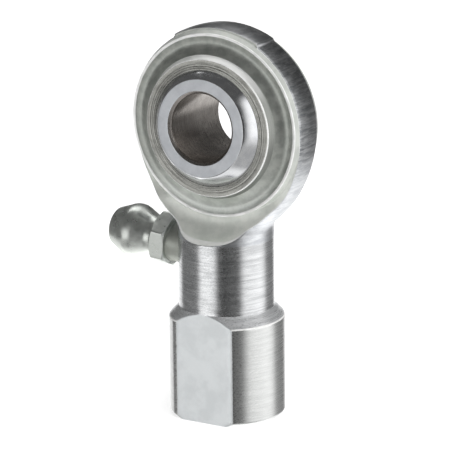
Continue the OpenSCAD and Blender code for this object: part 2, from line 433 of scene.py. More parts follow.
def shank_heights(start):
    """Heights of the rings down the shank, closer together at its corners."""
    near = np.array([0.03, 0.07, 0.12, 0.19, 0.28, 0.4, 0.6, 0.85])
    corner = np.array([0.30, 0.16, 0.09, 0.04, 0.0, -0.04, -0.09, -0.16, -0.30])
    chamfer_z = END_CHAMFER - SHANK_LEN
    return np.concatenate([
        start - near,
        np.linspace(start - 1.2, NECK_END_Z + 0.4, 18),
        NECK_END_Z + corner,
        np.linspace(NECK_END_Z - 0.4, SHOULDER_Z + 0.4, 6),
        SHOULDER_Z + corner,
        np.linspace(SHOULDER_Z - 0.45, chamfer_z + 0.35, 14),
        chamfer_z + corner[:7],
        -SHANK_LEN + np.array([0.2, 0.1, 0.04, 0.0]),
    ])


def ring_turns(z, even):
    """Angles round the shank for a ring at height z, with columns on the wrench flats' corners."""
    radius = float(outline_radius(np.array(z)))
    corner = min(math.asin(min(FLAT_Y / radius, 1.0)), FLAT_TURN_LIMIT)
    settle = smooth_step(-z, -NECK_END_Z - 1.5, -NECK_END_Z)
    corner = corner * settle + FLAT_TURN * (1 - settle)
    quarter = np.abs(np.arcsin(np.sin(even)))
    moved = np.where(
        quarter < FLAT_TURN,
        quarter * corner / FLAT_TURN,
        corner + (quarter - FLAT_TURN) * (math.pi / 2 - corner) / (math.pi / 2 - FLAT_TURN),
    )
    return np.sign(np.sin(even)) * moved, np.cos(even)


def shank_ring(z, even):
    turn, toward = ring_turns(z, even)
    radius = float(outline_radius(np.array(z)))
    across = np.abs(np.cos(turn)) * np.where(toward >= 0, 1, -1)
    up = np.sin(turn)
    if z < NECK_END_Z + 0.1:
        radius = np.minimum(radius, FLAT_Y / np.maximum(np.abs(up), 1e-6))
    return np.stack([radius * across, radius * up, np.full_like(up, z)], axis=-1)


def thread_radius(turn, z):
    """Wall of the tapped hole: a helical groove that fades in at the mouth and out at the end."""
    phase = (z / THREAD_PITCH + turn / (2 * math.pi)) % 1.0
    groove = np.clip(2.6 * (0.5 - np.abs(phase - 0.5)) - 0.15, 0, 1)
    depth_in = smooth_step(z, -SHANK_LEN + 0.1, -SHANK_LEN + 0.7)
    depth_out = 1 - smooth_step(z, -SHANK_LEN + THREAD_END - 1, -SHANK_LEN + THREAD_END)
    wall = TAP_R + THREAD_DEPTH * groove * depth_in * depth_out
    sink = TAP_R + TAP_SINK - (z + SHANK_LEN)
    return np.maximum(wall, sink)


class Skin:
    """Gathers the points, faces and material numbers of the body's mesh."""

    def __init__(self, zone_names):
        self.points, self.faces, self.zones = [], [], []
        self.number = {name: i for i, name in enumerate(zone_names)}

    def add_points(self, array):
        start = sum(len(p) for p in self.points)
        self.points.append(array.reshape(-1, 3))
        return start + numbered(array)

    def add_faces(self, faces, zone):
        """Zone is one zone's name, or an array with each face's material number."""
        if isinstance(zone, str):
            zone = np.full(len(faces), self.number[zone])
        self.faces.extend(faces)
        self.zones.extend(zone.reshape(-1).tolist())


def ring_of(out, back):
    """A closed ring from a row and another that returns beside it between the same ends."""
    return np.concatenate([out, back[-2:0:-1]])


def add_rim(skin, rows):
    """The head's rim, both sides, up one side and down the other."""
    rim = skin.add_points(rows)
    corner = rows[:-1, :-1]
    on_cap = (np.hypot(corner[..., 0], corner[..., 1]) < CAP_R - 0.01) & (corner[..., 2] > 0)
    skin.add_faces(grid_faces(rim), np.where(on_cap, skin.number["cap"], skin.number["rim"]))
    return rim


def add_face(skin, side, angles, rho_edge, edge):
    """A face of the head, from the lip's bore out to the rim's edge. Returns its innermost points."""
    inner = np.concatenate([np.linspace(*span) for span in FACE_SPANS])
    outer_share = 1 - (1 - np.linspace(0, 1, OUTER_STEPS + 1)[1:-1]) ** 2
    rho = np.concatenate([
        np.broadcast_to(inner, (len(angles), len(inner))),
        inner[-1] + (rho_edge[:, None] - inner[-1]) * outer_share,
    ], axis=1)
    angle = np.broadcast_to(angles[:, None], rho.shape)
    face = at_angle(rho, angle, side * side_height(rho, angle))
    face[:, 1:] = settled(face[:, 1:], body_distance, rounds=5, reach=0.05)
    index = np.concatenate([skin.add_points(face), edge[:, None]], axis=1)
    last = index.shape[1] - 1
    # The last columns before the rim get the edge zone, a painted highlight line along the rim's edge
    names = [name for name, _ in FACE_ZONES] + ["forged", "edge"]
    ends = [int(np.searchsorted(inner, end)) for _, end in FACE_ZONES] + [last - EDGE_COLUMNS, last]
    for name, start, end in zip(names, [0] + ends, ends):
        skin.add_faces(grid_faces(index[:, start:end + 1], close_rows=True), name)
    return index[:, 0]


def add_pocket(skin, angles, front_bore, back_bore):
    """The race's pocket, hidden behind the lips."""
    wall_r = RACE_R + 0.01
    corners = [
        (LIP_BORE_R, -RACE_HALF + 0.12), (wall_r, -RACE_LAND),
        (wall_r, RACE_LAND), (LIP_BORE_R, RACE_HALF - 0.12),
    ]
    middle = skin.add_points(np.stack([at_angle(r, angles, y) for r, y in corners], axis=1))
    index = np.concatenate([front_bore[:, None], middle, back_bore[:, None]], axis=1)
    skin.add_faces(grid_faces(index, close_rows=True), "lip")


def shank_zones(number, centres):
    """Material numbers for the shank's faces, by where their centres are."""
    y, z = np.abs(centres[..., 1]), centres[..., 2]
    flat = (y > FLAT_Y - 0.035) & (z < NECK_END_Z + 0.05)
    turned = ~flat & (z < NECK_END_Z + 0.06)
    zone = np.where(z < SHOULDER_Z, number["boss"], number["neck"])
    zone = np.where(flat, number["flat"], zone)
    zone = np.where(turned & (z > SHOULDER_Z + 0.1), number["end"], zone)
    # A thin edge zone at the shoulder's lower corner: a painted highlight line
    return np.where(turned & (np.abs(z - SHOULDER_Z) < 0.1), number["edge"], zone)


def add_shank(skin, rows, rim, even):
    """Neck, shoulder and boss, hung from the rim's lowest rows. Returns the last ring."""
    top = ring_of(rows[0], rows[-1])
    apex = float(top[0, 2])
    heights = shank_heights(apex)
    sag = 0.15 * np.sin(math.pi * np.linspace(0, 1, ACROSS + 1)) ** 2
    fade = 1 - smooth_step(-heights, -apex, -apex + 3)
    rings = np.array([shank_ring(z, even) for z in heights])
    rings[..., 2] -= ring_of(sag, sag) * fade[:, None]
    rings = settled(rings, body_distance, rounds=6, reach=0.06)
    index = np.concatenate([ring_of(rim[0], rim[-1])[None], skin.add_points(rings)])
    corners = np.concatenate([top[None], rings])
    centres = (corners[:-1] + np.roll(corners, -1, axis=1)[:-1] + corners[1:]) / 3
    skin.add_faces(grid_faces(index, close_columns=True), shank_zones(skin.number, centres))
    return rings[-1], index[-1:]


def add_end(skin, even, ring, ring_index):
    """End face, countersink, thread and drill point."""
    turns = np.arctan2(np.sin(even), np.cos(even))
    rim = ring * np.array([1, 1, 0]) + np.array([0, 0, -SHANK_LEN])
    mouth = around(TAP_R + TAP_SINK, turns, -SHANK_LEN)
    shares = np.array([0.03, 0.1, 0.25, 0.5, 0.75, 0.93, 1.0])[:, None, None]
    index = np.concatenate([ring_index, skin.add_points(rim + (mouth - rim) * shares)])
    skin.add_faces(grid_faces(index, close_columns=True), "end")
    z = np.concatenate([
        -SHANK_LEN + np.array([0.05, 0.15, 0.3, 0.45]),
        np.arange(-SHANK_LEN + 0.55, -SHANK_LEN + THREAD_END + 0.1, THREAD_PITCH / 14),
        -SHANK_LEN + np.array([13.6, 14.3, 14.9, 15.0, 15.1]),
    ])[:, None]
    drilled = TAP_R - (z + SHANK_LEN - TAP_LEN) * math.tan(DRILL_ANGLE)
    radius = np.where(z + SHANK_LEN > TAP_LEN, drilled, thread_radius(turns[None], z))
    index = np.concatenate([index[-1:], skin.add_points(around(radius, turns, z))])
    skin.add_faces(grid_faces(index, close_columns=True), "thread")
    tip_z = -SHANK_LEN + TAP_LEN + TAP_R / math.tan(DRILL_ANGLE)
    tip = int(skin.add_points(np.array([[0, 0, tip_z]]))[0])
    last = index[-1].tolist()
    skin.add_faces([[a, b, tip] for a, b in zip(last, last[1:] + last[:1])], "thread")


def make_body(materials):
    angles, cap_angle = ring_angles()
    rho_edge, y_edge = rim_edge(angles)
    right = turned_rows(angles, cap_angle, rho_edge, y_edge)
    rows = np.concatenate([right, (right * np.array([-1, 1, 1]))[-2::-1]])
    rows = settled(rows, body_distance)
    all_angles = ring_of(angles, 2 * math.pi - angles)
    all_rho = ring_of(rho_edge, rho_edge)
    even = np.concatenate([
        np.linspace(-math.pi / 2, math.pi / 2, ACROSS + 1),
        np.linspace(math.pi / 2, 3 * math.pi / 2, ACROSS + 1)[1:-1],
    ])
    skin = Skin(materials)
    rim = add_rim(skin, rows)
    front_bore = add_face(skin, -1, all_angles, all_rho, rim[:-1, 0])
    back_bore = add_face(skin, 1, all_angles, all_rho, rim[:-1, ACROSS])
    add_pocket(skin, all_angles, front_bore, back_bore)
    ring, ring_index = add_shank(skin, rows, rim, even)
    add_end(skin, even, ring, ring_index)
    points = np.concatenate(skin.points)
    return build_mesh("rod_end_body", points, skin.faces, materials.values(), skin.zones)


# ------------------------ pieces turned about the bore

RING_SEGMENTS = 288


def revolve_about_y(name, outline, materials, zones=None, tilt=0.0):
    """A closed outline of (radius, y) turned about Y, as a ring with no poles."""
    turn = np.linspace(0, 2 * math.pi, RING_SEGMENTS, endpoint=False)[:, None]
    r, y = outline.T
    points = np.stack(np.broadcast_arrays(r * np.sin(turn), y, r * np.cos(turn)), axis=-1)
    lean = math.radians(-tilt)
    turned = points.copy()
    turned[..., 1] = points[..., 1] * math.cos(lean) - points[..., 2] * math.sin(lean)
    turned[..., 2] = points[..., 1] * math.sin(lean) + points[..., 2] * math.cos(lean)
    faces = grid_faces(numbered(turned), close_columns=True, close_rows=True)
    if zones is not None:
        zones = np.tile(zones, RING_SEGMENTS)
    return build_mesh(name, turned.reshape(-1, 3), faces, materials, zones)


def make_ball(materials):
    """Ball: a sphere cut flat at both ends, with a chamfered bore."""
    face_r = math.sqrt(BALL_R**2 - BALL_HALF**2)
    top = math.atan2(BALL_HALF, face_r)
    arc = np.linspace(-top, top, 97)
    sphere = [(BALL_R * math.cos(a), BALL_R * math.sin(a)) for a in arc]
    front_edge = rounded_outline(
        [(BORE_R + 1.0, -BALL_HALF), (face_r, -BALL_HALF), sphere[3]], 0.10
    )[1:-1]
    bore = [
        (BORE_R, -BALL_HALF + BORE_CHAMFER, 0.06),
        (BORE_R + BORE_CHAMFER, -BALL_HALF, 0.05),
    ]
    half = rounded_outline([(BORE_R, 0)] + bore + [(BORE_R + 1.0, -BALL_HALF)], 0.05)
    start = np.concatenate([half[1:], front_edge])
    middle = np.array(sphere[3:-3])
    end = (start * np.array([1, -1]))[::-1]
    outline = fill_in(np.concatenate([start, middle, end]), 0.25)
    centre = (outline + np.roll(outline, -1, axis=0)) / 2
    on_face = np.abs(centre[:, 1]) > BALL_HALF - 0.004
    in_bore = centre[:, 0] < BORE_R + BORE_CHAMFER * 0.98
    zones = np.where(in_bore & ~on_face, 2, np.where(on_face, 1, 0))
    return revolve_about_y("bearing_ball", outline, materials, zones, tilt=BALL_TILT)


def make_race(material):
    """Race: a ring with a spherical seat, grease grooves inside and out, and turned faces."""
    seat_r = BALL_R + 0.03
    mouth_r = math.sqrt(seat_r**2 - RACE_HALF**2)
    angle = math.asin(RACE_HALF / seat_r)
    groove = math.asin(GROOVE_HALF / seat_r)
    lower = [(seat_r * math.cos(a), seat_r * math.sin(a)) for a in np.linspace(-angle, -groove, 24)]
    upper = [(r, -y) for r, y in lower[::-1]]
    deep = seat_r + GROOVE_DEPTH
    inside = lower + [(deep, -GROOVE_HALF), (deep, GROOVE_HALF)] + upper
    face = [
        (mouth_r + 0.05, RACE_HALF), (7.02, RACE_HALF), (7.05, RACE_HALF - 0.03),
        (7.08, RACE_HALF), (RACE_FACE_R, RACE_HALF),
    ]
    shallow = RACE_R - GROOVE_DEPTH
    outside = [
        (RACE_R, RACE_LAND), (RACE_R, GROOVE_HALF), (shallow, GROOVE_HALF),
        (shallow, -GROOVE_HALF), (RACE_R, -GROOVE_HALF), (RACE_R, -RACE_LAND),
    ]
    back_face = [(r, -y) for r, y in face[::-1]]
    outline = fill_in(np.array(inside + face + outside + back_face), 0.3)
    return revolve_about_y("bearing_race", outline, [material])


# ------------------------ grease fitting

STEM_R = 2.415
STEM_LEN = 2.6
STEM_GAP = 1.35
HEX_W = 5.7
HEX_LEN = 1.9
HEX_TURN = 56
WAIST_R = 2.35
NIPPLE_R = 3.2
NIPPLE_TIP_R = 1.9
NIPPLE_LEN = 6.15
CHECK_R = 1.0
CHANNEL_R = CHECK_R + 0.06
HEX_END = STEM_GAP + HEX_LEN
TIP_S = HEX_END + NIPPLE_LEN
CHECK_S = TIP_S - CHECK_R - 0.05
SPRING_START_S = 3.2
FITTING_SEGMENTS = 240


def fitting_matrix():
    """Places a piece made along +Z at the seat on the neck, leaning up along -X."""
    lean = Matrix.Rotation(math.radians(FITTING_LEAN - 90), 4, "Y")
    return Matrix.Translation(Vector((-NECK_R, 0, -FITTING_DROP)) * MM) @ lean


def hexagon_radius(turn):
    """Distance from the axis to a hexagon's side, with its corners broken a little."""
    sixth = math.pi / 3
    local = (turn + sixth / 2) % sixth - sixth / 2
    side = HEX_W / 2 / np.cos(local)
    return smooth_min(side, HEX_W / 2 / math.cos(sixth / 2) - 0.03, 0.05)


def make_fitting(materials):
    corner_r = HEX_W / 2 / math.cos(math.pi / 6)
    edge_r = HEX_W / 2 + 0.05
    chamfer = (corner_r - edge_r) * math.tan(math.pi / 6)
    stem = rounded_outline([
        (0.9, -STEM_LEN), (STEM_R - 0.4, -STEM_LEN), (STEM_R, -STEM_LEN + 0.4),
        (STEM_R, STEM_GAP - 0.25), (STEM_R + 0.06, STEM_GAP),
    ], 0.12)
    hexagon = np.concatenate([
        [[edge_r - 0.35, STEM_GAP], [edge_r - 0.03, STEM_GAP]],
        [[edge_r + (corner_r - edge_r) * t, STEM_GAP + chamfer * t] for t in np.linspace(0, 1, 9)],
        [[corner_r, s] for s in np.linspace(STEM_GAP + chamfer + 0.05, HEX_END - chamfer - 0.05, 14)],
        [[edge_r + (corner_r - edge_r) * t, HEX_END - chamfer * t] for t in np.linspace(1, 0, 9)],
        [[edge_r - 0.03, HEX_END], [WAIST_R + 0.3, HEX_END]],
    ])
    head = rounded_outline([
        (WAIST_R + 0.28, HEX_END), (WAIST_R, HEX_END + 0.28, 0.3), (WAIST_R, HEX_END + 0.95, 0.7),
        (NIPPLE_R, HEX_END + 2.85, 0.9), (NIPPLE_R, HEX_END + 3.75, 0.7),
        (NIPPLE_TIP_R + 0.32, TIP_S - 0.22, 0.35), (NIPPLE_TIP_R - 0.05, TIP_S, 0.25),
        (0.98, TIP_S, 0.06), (0.85, TIP_S - 0.13, 0.04), (0.85, CHECK_S + 0.62, 0),
        (CHANNEL_R, CHECK_S + 0.4, 0), (CHANNEL_R, SPRING_START_S, 0),
        (CHANNEL_R - 0.4, SPRING_START_S, 0), (CHANNEL_R - 0.4, -STEM_LEN + 0.2, 0), (0.9, -STEM_LEN, 0),
    ], 0.1, steps=9)
    head = fill_in(head, 0.16, closed=False)
    stem = fill_in(stem, 0.2, closed=False)
    outline = np.concatenate([stem, hexagon, head[1:-1]])
    is_hex = np.zeros(len(outline), bool)
    is_hex[len(stem):len(stem) + len(hexagon)] = True
    turn = np.linspace(0, 2 * math.pi, FITTING_SEGMENTS, endpoint=False)[:, None]
    envelope, s = outline.T
    side = hexagon_radius(turn - math.radians(HEX_TURN + 30))
    radius = np.where(is_hex, smooth_min(envelope, side, 0.03), envelope)
    points = around(radius, turn, s)
    faces = grid_faces(numbered(points), close_columns=True, close_rows=True)
    zones = np.tile(np.where(np.arange(len(outline)) < len(stem), 1, 0), FITTING_SEGMENTS)
    piece = build_mesh("grease_nipple", points.reshape(-1, 3), faces, materials, zones)
    piece.data.transform(fitting_matrix())
    return piece


def make_spring(material):
    """The check ball's spring: round wire wound into a coil with its end turns closed."""
    wire_r, coil_r, turns, sides, steps = 0.12, 0.8, 8, 14, 44
    low = SPRING_START_S + wire_r + 0.05
    high = CHECK_S - CHECK_R - wire_r + 0.25
    t = np.linspace(0, 1, turns * steps + 1)[:, None]
    closed = 0.8 / turns
    pitch = 1.6 * wire_r
    climb = np.clip((t - closed) / (1 - 2 * closed), 0, 1)
    lap = np.clip(t / closed, 0, 1) + np.clip((t - 1 + closed) / closed, 0, 1)
    s = low + pitch * lap + (high - low - 2 * pitch) * climb
    ring = np.linspace(0, 2 * math.pi, sides, endpoint=False)
    points = around(coil_r + wire_r * np.cos(ring), 2 * math.pi * turns * t, s + wire_r * np.sin(ring))
    index = numbered(points)
    faces = grid_faces(index, close_columns=True)
    faces += [index[0].tolist(), index[-1][::-1].tolist()]
    piece = build_mesh("check_valve_spring", points.reshape(-1, 3), faces, [material])
    piece.data.transform(fitting_matrix())
    return piece


# ------------------------ materials


class Nodes:
    """Short calls for building a node tree."""

    def __init__(self, tree):
        self.tree = tree
        tree.nodes.clear()

    def feed(self, socket, value):
        """Gives a socket a plain value or colour, or links it from another socket."""
        if isinstance(value, bpy.types.NodeSocket):
            self.tree.links.new(value, socket)
        elif socket.type == "RGBA":
            socket.default_value = (*value, 1)
        else:
            socket.default_value = value

    def add(self, kind, inputs, **settings):
        node = self.tree.nodes.new(kind)
        for key, value in settings.items():
            setattr(node, key, value)
        for key, value in inputs.items():
            self.feed(node.inputs[key], value)
        return node.outputs

    def math(self, operation, a, b=0.0):
        return self.add("ShaderNodeMath", {0: a, 1: b}, operation=operation)[0]

    def range(self, value, low, high, to_low=0.0, to_high=1.0):
        """Changes smoothly from to_low to to_high while the value goes from low to high."""
        inputs = {"Value": value, "From Min": low, "From Max": high, "To Min": to_low, "To Max": to_high}
        return self.add("ShaderNodeMapRange", inputs, interpolation_type="SMOOTHSTEP")["Result"]

    def mix(self, share, a, b):
        """A colour between a and b."""
        inputs = {"Factor": share, "A": a, "B": b}
        return self.add("ShaderNodeMix", inputs, data_type="RGBA")["Result"]

    def place(self):
        """The three coordinates in the object's own space."""
        place = self.add("ShaderNodeTexCoord", {})["Object"]
        return self.add("ShaderNodeSeparateXYZ", {"Vector": place})

    def noise(self, vector, scale, detail, roughness):
        inputs = {"Vector": vector, "Scale": scale, "Detail": detail, "Roughness": roughness}
        return self.add("ShaderNodeTexNoise", inputs)["Fac"]


def new_material(name):
    material = bpy.data.materials.new(name)
    material.use_nodes = True
    return material, Nodes(material.node_tree)


def cloudy(nodes, scale, detail=4.0, roughness=0.6, stretch=(1, 1, 1)):
    """Noise in the object's own space, stretched by three factors. Scale is per millimetre."""
    place = nodes.add("ShaderNodeTexCoord", {})["Object"]
    scaled = nodes.add("ShaderNodeMapping", {"Vector": place, "Scale": [v / MM for v in stretch]})
    return nodes.noise(scaled["Vector"], scale, detail, roughness)


def ring_lines(nodes, axis, scale, waver=0.12, detail=3.0):
    """Noise that runs in rings round an axis: it changes with radius and height, hardly with angle."""
    place = nodes.place()
    others = [n for n in "XYZ" if n != axis]
    squares = [nodes.math("MULTIPLY", place[n], place[n]) for n in others]
    radius = nodes.math("SQRT", nodes.math("ADD", *squares))
    join = nodes.add("ShaderNodeCombineXYZ", {
        "X": nodes.math("MULTIPLY", radius, 1 / MM),
        "Y": nodes.math("MULTIPLY", place[axis], 1 / MM),
        "Z": nodes.math("MULTIPLY", place[others[0]], waver / MM),
    })
    return nodes.noise(join["Vector"], scale, detail, 0.5)


def metal(name, roughness=0.5, metallic=1.0, anisotropy=0.0, axis=None):
    """Starts a metal, brushed round the axis if there is one: its material, nodes and shader inputs."""
    material, nodes = new_material(name)
    shader = nodes.tree.nodes.new("ShaderNodeBsdfPrincipled")
    nodes.add("ShaderNodeOutputMaterial", {"Surface": shader.outputs["BSDF"]})
    shader.inputs["Metallic"].default_value = metallic
    shader.inputs["Roughness"].default_value = roughness
    shader.inputs["Anisotropic"].default_value = anisotropy
    if axis:
        direction = nodes.add("ShaderNodeTangent", {}, direction_type="RADIAL", axis=axis)
        nodes.feed(shader.inputs["Tangent"], direction["Tangent"])
        shader.inputs["Anisotropic Rotation"].default_value = 0.25
    return material, nodes, shader.inputs


def tint(nodes, shader, noise, dark, light, start=0.35, end=0.65):
    """Base colour from dark to light as the noise goes from start to end."""
    nodes.feed(shader["Base Color"], nodes.mix(nodes.range(noise, start, end), dark, light))


def tint_by_height(nodes, shader, tone, start, end, first, last):
    """Base colour that goes from one (dark, light) pair to another between two heights in mm: painted
    light and shade that change with height.
    """
    share = nodes.range(nodes.place()["Z"], start * MM, end * MM)
    pairs = nodes.mix(tone, *first), nodes.mix(tone, *last)
    nodes.feed(shader["Base Color"], nodes.mix(share, *pairs))
    return share


def roughen(nodes, shader, noise, low, high):
    nodes.feed(shader["Roughness"], nodes.range(noise, 0.3, 0.7, low, high))


def blend(nodes, a, b, share):
    """Two noises added together, the first with the given share."""
    return nodes.math("ADD", nodes.math("MULTIPLY", a, share), nodes.math("MULTIPLY", b, 1 - share))


def add_bump(nodes, shader, *layers):
    """Bumps on top of each other: (height socket, depth in millimetres)."""
    under = {}
    for height, depth in layers:
        inputs = {"Strength": 1.0, "Distance": depth * MM, "Height": height, **under}
        under = {"Normal": nodes.add("ShaderNodeBump", inputs)["Normal"]}
    nodes.feed(shader["Normal"], under["Normal"])


def turned_zinc(name, light, dark, roughness, coarse, fine, axis="Z", anisotropy=0.5, metallic=1.0):
    """Zinc over turned steel: rings round an axis, with dull and bright stretches along them."""
    material, nodes, shader = metal(name, metallic=metallic, anisotropy=anisotropy, axis=axis)
    rings = ring_lines(nodes, axis, 5.0, waver=0.10)
    hair = ring_lines(nodes, axis, 16.0, waver=0.25, detail=2.0)
    patches = cloudy(nodes, 1.0, stretch=(0.35, 0.35, 1.2))
    tint(nodes, shader, blend(nodes, rings, patches, 0.6), dark, light, 0.36, 0.62)
    roughen(nodes, shader, hair, roughness * 0.8, roughness * 1.25)
    add_bump(nodes, shader, (rings, coarse), (hair, fine))
    return material


def rim_material():
    """The head's rim and flare: dark streaks left by rough turning; painted shade on top, painted table
    reflection below.
    """
    material, nodes, shader = metal("chattered_rim_painted_reflection", roughness=0.34, anisotropy=0.4, axis="Z")
    streaks = cloudy(nodes, 1.0, detail=6.0, roughness=0.7, stretch=(0.35, 0.35, 2.2))
    hair = ring_lines(nodes, "Z", 14.0, waver=0.8, detail=3.0)
    tone = nodes.range(blend(nodes, streaks, hair, 0.7), 0.38, 0.62)
    # Painted shade on the rim's top and a painted reflection of the white table on the flare below
    head = (0.24, 0.25, 0.26), (0.58, 0.59, 0.60)
    flare = (0.66, 0.68, 0.71), (0.90, 0.92, 0.94)
    tint_by_height(nodes, shader, tone, -1.5, -6.5, head, flare)
    add_bump(nodes, shader, (streaks, 0.035), (hair, 0.008))
    return material


def cap_material():
    material, nodes, shader = metal("cap_zinc", roughness=0.36, anisotropy=0.3, axis="Z")
    streaks = cloudy(nodes, 1.0, stretch=(0.35, 0.35, 2.0))
    tint(nodes, shader, streaks, (0.34, 0.35, 0.36), (0.60, 0.61, 0.62))
    add_bump(nodes, shader, (streaks, 0.05))
    return material


def forged_material():
    """The matt skin outside the ridge, painted paler low down as a reflection of the white table."""
    material, nodes, shader = metal("forged_zinc", metallic=0.45)
    grain = cloudy(nodes, 5.0, detail=5.0)
    cloud = cloudy(nodes, 0.5, detail=3.0)
    # Painted reflection: lighter colours low down, where the skin faces the white table
    upper = (0.54, 0.56, 0.53), (0.66, 0.68, 0.64)
    lower = (0.70, 0.73, 0.68), (0.82, 0.84, 0.79)
    tint_by_height(nodes, shader, nodes.range(cloud, 0.35, 0.65), -4.0, -8.5, upper, lower)
    roughen(nodes, shader, cloud, 0.42, 0.52)
    add_bump(nodes, shader, (grain, 0.004), (cloud, 0.03))
    return material


def dish_material():
    """The dished face inside the ridge, painted paler low down as a reflection of the white table."""
    material, nodes, shader = metal("dished_face_zinc", metallic=0.85)
    rings = ring_lines(nodes, "Y", 6.0, waver=0.15)
    cloud = cloudy(nodes, 0.8)
    # Painted reflection: darker colours high up, lighter ones low down where the face mirrors the table
    upper = (0.40, 0.42, 0.39), (0.54, 0.56, 0.52)
    lower = (0.66, 0.69, 0.65), (0.80, 0.83, 0.79)
    tint_by_height(nodes, shader, nodes.range(cloud, 0.35, 0.65), -4.5, -9.5, upper, lower)
    roughen(nodes, shader, cloud, 0.38, 0.50)
    add_bump(nodes, shader, (rings, 0.003), (cloud, 0.02))
    return material


def wall_material():
    """The lip's outer wall: a painted highlight on top, where it mirrors the overhead light, and dull
    elsewhere.
    """
    material, nodes, shader = metal("lip_wall", roughness=0.34)
    rings = ring_lines(nodes, "Y", 6.0, waver=0.15)
    # Painted highlight: near white on the wall's top, dull below
    dull = (0.26, 0.27, 0.25), (0.40, 0.41, 0.39)
    bright = (0.86, 0.87, 0.85), (0.96, 0.96, 0.95)
    top = tint_by_height(nodes, shader, rings, 3.5, 6.5, dull, bright)
    # The painted highlight is also made less metallic, so it stays bright
    nodes.feed(shader["Metallic"], nodes.range(top, 0.0, 1.0, 0.9, 0.6))
    add_bump(nodes, shader, (rings, 0.004))
    return material


def edge_material():
    """Edges painted bright as highlight lines, partly plating rubbed bright by handling."""
    material, nodes, shader = metal("rubbed_edge_painted_highlight", metallic=0.3)
    wear_and_highlight = cloudy(nodes, 0.7, detail=2.0)
    # Painted highlight: near-white colour and little metal, so the edges stay bright whatever they
    # mirror
    tint(nodes, shader, wear_and_highlight, (0.84, 0.85, 0.83), (0.96, 0.96, 0.95), 0.35, 0.6)
    roughen(nodes, shader, wear_and_highlight, 0.42, 0.30)
    add_bump(nodes, shader, (wear_and_highlight, 0.012))
    return material


def flat_material():
    material, nodes, shader = metal("wrench_flat_zinc", metallic=0.8)
    grain = cloudy(nodes, 3.5, detail=6.0, roughness=0.7)
    cloud = cloudy(nodes, 0.4, detail=3.0)
    tint(nodes, shader, cloud, (0.82, 0.85, 0.86), (0.90, 0.93, 0.94))
    roughen(nodes, shader, grain, 0.38, 0.48)
    add_bump(nodes, shader, (grain, 0.008))
    return material


def body_materials():
    """Each zone's material; their order gives the zones their numbers."""
    return {
        "neck": turned_zinc(
            "turned_zinc", (0.88, 0.89, 0.90), (0.64, 0.65, 0.66), 0.27, 0.007, 0.003, anisotropy=0.4),
        "boss": turned_zinc(
            "boss_zinc", (0.84, 0.85, 0.84), (0.74, 0.75, 0.74), 0.30, 0.0025, 0.0015, anisotropy=0.4),
        "rim": rim_material(),
        "cap": cap_material(),
        "forged": forged_material(),
        "dish": dish_material(),
        "wall": wall_material(),
        "edge": edge_material(),
        "lip": turned_zinc(
            "turned_lip", (0.46, 0.46, 0.43), (0.29, 0.29, 0.27), 0.32, 0.014, 0.005, axis="Y"),
        "flat": flat_material(),
        "end": turned_zinc(
            "turned_end", (0.80, 0.81, 0.82), (0.60, 0.61, 0.62), 0.32, 0.010, 0.004, metallic=0.65),
        "thread": turned_zinc(
            "tapped_thread", (0.55, 0.55, 0.54), (0.40, 0.40, 0.40), 0.35, 0.004, 0.003),
    }


def chrome_material():
    material, nodes, shader = metal("ball_chrome")
    haze = cloudy(nodes, 1.2, detail=5.0)
    hair = ring_lines(nodes, "Y", 10.0, waver=0.3)
    tint(nodes, shader, haze, (0.74, 0.75, 0.77), (0.82, 0.83, 0.84))
    roughen(nodes, shader, haze, 0.13, 0.20)
    add_bump(nodes, shader, (hair, 0.0008))
    return material


def satin_material():
    material, nodes, shader = metal("ball_face_satin")
    grain = cloudy(nodes, 5.0, detail=6.0)
    cloud = cloudy(nodes, 0.6, detail=3.0)
    tint(nodes, shader, cloud, (0.60, 0.62, 0.65), (0.68, 0.70, 0.73))
    roughen(nodes, shader, grain, 0.40, 0.50)
    add_bump(nodes, shader, (grain, 0.004))
    return material


def fitting_material(name, light, dark, roughness, metallic=1.0):
    material, nodes, shader = metal(name, metallic=metallic)
    lines = cloudy(nodes, 2.0, detail=2.0, stretch=(3.0, 0.8, 0.8))
    cloud = cloudy(nodes, 0.9, detail=3.0)
    tint(nodes, shader, cloud, dark, light)
    roughen(nodes, shader, cloud, roughness * 0.8, roughness * 1.3)
    add_bump(nodes, shader, (lines, 0.002), (cloud, 0.01))
    return material


# ------------------------ camera, light and floor

CAMERA_AZIMUTH = 30.869
CAMERA_ELEVATION = 16.153
CAMERA_ROLL = math.radians(-0.649)
CAMERA_DISTANCE = 421.659
CAMERA_TARGET = Vector((-0.145, 0, -12.456))
CAMERA_LENS = 292.155


def direction(azimuth, elevation):
    """A unit vector from angles in degrees; azimuth 0 is the side the bearing's face looks to."""
    az, el = math.radians(azimuth), math.radians(elevation)
    return Vector((math.sin(az) * math.cos(el), -math.cos(az) * math.cos(el), math.sin(el)))


def make_camera():
    """Looks at the bearing from its front right, a little above it."""
    back = direction(CAMERA_AZIMUTH, CAMERA_ELEVATION)
    right = direction(CAMERA_AZIMUTH + 90, 0)
    up = back.cross(right)
    right = math.cos(CAMERA_ROLL) * right + math.sin(CAMERA_ROLL) * up
    up = back.cross(right)
    place = (CAMERA_TARGET + back * CAMERA_DISTANCE) * MM
    data = bpy.data.cameras.new("camera")
    data.lens = CAMERA_LENS
    data.sensor_width = 36
    data.clip_start = 0.01
    camera = bpy.data.objects.new("camera", data)
    turn = Matrix((right, up, back)).transposed()
    camera.matrix_world = Matrix.Translation(place) @ turn.to_4x4()
    bpy.context.scene.collection.objects.link(camera)
    bpy.context.scene.camera = camera


